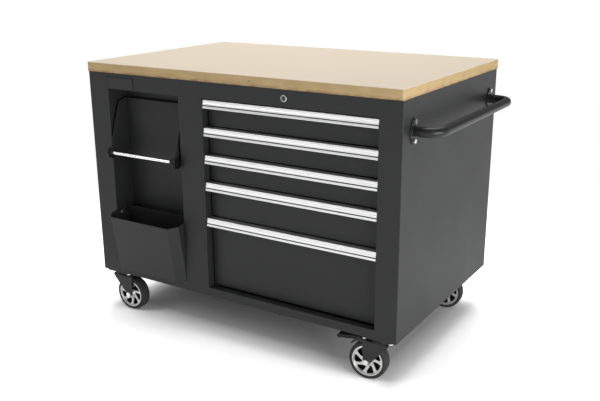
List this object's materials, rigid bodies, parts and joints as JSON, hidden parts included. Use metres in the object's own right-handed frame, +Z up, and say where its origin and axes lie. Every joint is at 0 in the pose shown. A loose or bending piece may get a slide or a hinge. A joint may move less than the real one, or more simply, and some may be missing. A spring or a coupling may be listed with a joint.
{
  "type": "mobile workbench",
  "caption": "Sheet-steel workbench cabinet on swivel casters: drawers with full-width extruded grips, open niche with paper roll rod and tilt-out bin, side push handle, laminated top.",
  "frame": {"origin": "on the floor under the middle of the whole bench, handle and bin included", "axes": "+Z up; -Y is the front with the drawers and the niche; +X is the end with the push handle"},
  "size_m": [1.2892, 0.8264, 0.9145],
  "materials": {
    "cabinet_paint": "fine-textured dark grey powder coat",
    "drawer_paint": "fine-textured dark grey powder coat",
    "badge_paint": "smooth dark grey, bare",
    "handle_paint": "smooth dark grey powder coat",
    "fork_paint": "satin dark grey coating on pressed steel",
    "worktop_laminate": "pale matt board with a tan layered edge",
    "aluminium": "natural anodised extrusion",
    "zinc": "bright zinc plating",
    "chrome": "bright plated bar",
    "rim_silver": "light silver casting",
    "tyre_rubber": "dark grey solid rubber",
    "black_plastic": "moulded black plastic"
  },
  "bodies": {
    "cabinet": {"worktop": "worktop_laminate", "worktop_screws": "zinc", "left_side_panel": "cabinet_paint", "right_side_panel": "cabinet_paint", "back_panel": "cabinet_paint", "base_panel": "cabinet_paint", "caster_channels": "cabinet_paint", "top_cover": "cabinet_paint", "centre_divider": "cabinet_paint", "runner_wall": "cabinet_paint", "left_fascia": "cabinet_paint", "drawer_bay_frame": "cabinet_paint", "niche_liner": "cabinet_paint", "badge_plate": "badge_paint", "lock_housing": "zinc", "push_handle": "handle_paint", "handle_bolts": "zinc", "roll_bracket": "cabinet_paint", "fixed_rails": "zinc", "caster_plates": "fork_paint", "caster_bolts": "zinc"},
    "lock_turning_core": {"lock_core": "zinc"},
    "roll_spindle": {"roll_rod": "chrome"},
    "left_knob": {"roll_knob_left": "black_plastic"},
    "right_knob": {"roll_knob_right": "black_plastic"},
    "tilting_bin": {"waste_bin": "cabinet_paint", "bin_screws": "zinc"},
    "drawer_1": {"drawer_1_tray": "drawer_paint", "drawer_1_grip": "aluminium"},
    "drawer_1_rails": {"drawer_1_middle_rails": "zinc"},
    "drawer_2": {"drawer_2_tray": "drawer_paint", "drawer_2_grip": "aluminium"},
    "drawer_2_rails": {"drawer_2_middle_rails": "zinc"},
    "drawer_3": {"drawer_3_tray": "drawer_paint", "drawer_3_grip": "aluminium"},
    "drawer_3_rails": {"drawer_3_middle_rails": "zinc"},
    "drawer_4": {"drawer_4_tray": "drawer_paint", "drawer_4_grip": "aluminium"},
    "drawer_4_rails": {"drawer_4_middle_rails": "zinc"},
    "drawer_5": {"drawer_5_tray": "drawer_paint", "drawer_5_grip": "aluminium"},
    "drawer_5_rails": {"drawer_5_middle_rails": "zinc"},
    "front_left_swivel": {"front_left_fork": "fork_paint", "front_left_axle": "zinc"},
    "front_left_wheel": {"front_left_rim": "rim_silver", "front_left_tyre": "tyre_rubber"},
    "front_right_swivel": {"front_right_fork": "fork_paint", "front_right_axle": "zinc"},
    "front_right_wheel": {"front_right_rim": "rim_silver", "front_right_tyre": "tyre_rubber"},
    "front_right_brake": {"front_right_pedal": "black_plastic"},
    "rear_left_swivel": {"rear_left_fork": "fork_paint", "rear_left_axle": "zinc"},
    "rear_left_wheel": {"rear_left_rim": "rim_silver", "rear_left_tyre": "tyre_rubber"},
    "rear_right_swivel": {"rear_right_fork": "fork_paint", "rear_right_axle": "zinc"},
    "rear_right_wheel": {"rear_right_rim": "rim_silver", "rear_right_tyre": "tyre_rubber"},
    "rear_right_brake": {"rear_right_pedal": "black_plastic"}
  },
  "joints": [
    {"name": "drawer_1_slide", "type": "slide", "parent": "cabinet", "child": "drawer_1", "axis": [0, -1, 0], "range_m": [0, 0.58]},
    {"name": "drawer_1_rails_slide", "type": "slide", "parent": "cabinet", "child": "drawer_1_rails", "axis": [0, -1, 0], "range_m": [0, 0.29]},
    {"name": "drawer_2_slide", "type": "slide", "parent": "cabinet", "child": "drawer_2", "axis": [0, -1, 0], "range_m": [0, 0.58]},
    {"name": "drawer_2_rails_slide", "type": "slide", "parent": "cabinet", "child": "drawer_2_rails", "axis": [0, -1, 0], "range_m": [0, 0.29]},
    {"name": "drawer_3_slide", "type": "slide", "parent": "cabinet", "child": "drawer_3", "axis": [0, -1, 0], "range_m": [0, 0.58]},
    {"name": "drawer_3_rails_slide", "type": "slide", "parent": "cabinet", "child": "drawer_3_rails", "axis": [0, -1, 0], "range_m": [0, 0.29]},
    {"name": "drawer_4_slide", "type": "slide", "parent": "cabinet", "child": "drawer_4", "axis": [0, -1, 0], "range_m": [0, 0.58]},
    {"name": "drawer_4_rails_slide", "type": "slide", "parent": "cabinet", "child": "drawer_4_rails", "axis": [0, -1, 0], "range_m": [0, 0.29]},
    {"name": "drawer_5_slide", "type": "slide", "parent": "cabinet", "child": "drawer_5", "axis": [0, -1, 0], "range_m": [0, 0.58]},
    {"name": "drawer_5_rails_slide", "type": "slide", "parent": "cabinet", "child": "drawer_5_rails", "axis": [0, -1, 0], "range_m": [0, 0.29]},
    {"name": "front_left_swivel_turn", "type": "hinge", "parent": "cabinet", "child": "front_left_swivel", "pos_m": [-0.5766, -0.3188, 0.137], "axis": [0, 0, 1], "continuous": true},
    {"name": "front_left_wheel_roll", "type": "hinge", "parent": "front_left_swivel", "child": "front_left_wheel", "pos_m": [-0.5386, -0.31827, 0.0625], "axis": [-0.014, 0.9999, 0], "continuous": true},
    {"name": "front_right_swivel_turn", "type": "hinge", "parent": "cabinet", "child": "front_right_swivel", "pos_m": [0.4874, -0.3188, 0.137], "axis": [0, 0, 1], "continuous": true},
    {"name": "front_right_wheel_roll", "type": "hinge", "parent": "front_right_swivel", "child": "front_right_wheel", "pos_m": [0.44952, -0.32178, 0.0625], "axis": [-0.0785, 0.9969, 0], "continuous": true},
    {"name": "front_right_brake_press", "type": "hinge", "parent": "front_right_swivel", "child": "front_right_brake", "pos_m": [0.4236, -0.32382, 0.133], "axis": [0.0785, -0.9969, 0], "range_deg": [0, 8]},
    {"name": "rear_left_swivel_turn", "type": "hinge", "parent": "cabinet", "child": "rear_left_swivel", "pos_m": [-0.5766, 0.3042, 0.137], "axis": [0, 0, 1], "continuous": true},
    {"name": "rear_left_wheel_roll", "type": "hinge", "parent": "rear_left_swivel", "child": "rear_left_wheel", "pos_m": [-0.53862, 0.30288, 0.0625], "axis": [0.0349, 0.9994, 0], "continuous": true},
    {"name": "rear_right_swivel_turn", "type": "hinge", "parent": "cabinet", "child": "rear_right_swivel", "pos_m": [0.4874, 0.3042, 0.137], "axis": [0, 0, 1], "continuous": true},
    {"name": "rear_right_wheel_roll", "type": "hinge", "parent": "rear_right_swivel", "child": "rear_right_wheel", "pos_m": [0.44967, 0.29964, 0.0625], "axis": [-0.1201, 0.9928, 0], "continuous": true},
    {"name": "rear_right_brake_press", "type": "hinge", "parent": "rear_right_swivel", "child": "rear_right_brake", "pos_m": [0.42386, 0.29651, 0.133], "axis": [0.1201, -0.9928, 0], "range_deg": [0, 8]},
    {"name": "lock_turn", "type": "hinge", "parent": "cabinet", "child": "lock_turning_core", "pos_m": [0.1644, -0.3498, 0.8555], "axis": [0, -1, 0], "range_deg": [0, 90]},
    {"name": "roll_spindle_turn", "type": "hinge", "parent": "cabinet", "child": "roll_spindle", "pos_m": [-0.4016, -0.3678, 0.606], "axis": [1, 0, 0], "continuous": true},
    {"name": "left_knob_turn", "type": "hinge", "parent": "roll_spindle", "child": "left_knob", "pos_m": [-0.5516, -0.3678, 0.606], "axis": [-1, 0, 0], "range_deg": [-180, 0]},
    {"name": "right_knob_turn", "type": "hinge", "parent": "roll_spindle", "child": "right_knob", "pos_m": [-0.2516, -0.3678, 0.606], "axis": [1, 0, 0], "range_deg": [-180, 0]},
    {"name": "bin_tilt", "type": "hinge", "parent": "cabinet", "child": "tilting_bin", "pos_m": [-0.4016, -0.3298, 0.1985], "axis": [1, 0, 0], "range_deg": [-9, 0]}
  ],
  "couplings": [
    {"joint": "drawer_1_rails_slide", "follows": "drawer_1_slide", "ratio": 0.5},
    {"joint": "drawer_2_rails_slide", "follows": "drawer_2_slide", "ratio": 0.5},
    {"joint": "drawer_3_rails_slide", "follows": "drawer_3_slide", "ratio": 0.5},
    {"joint": "drawer_4_rails_slide", "follows": "drawer_4_slide", "ratio": 0.5},
    {"joint": "drawer_5_rails_slide", "follows": "drawer_5_slide", "ratio": 0.5}
  ]
}
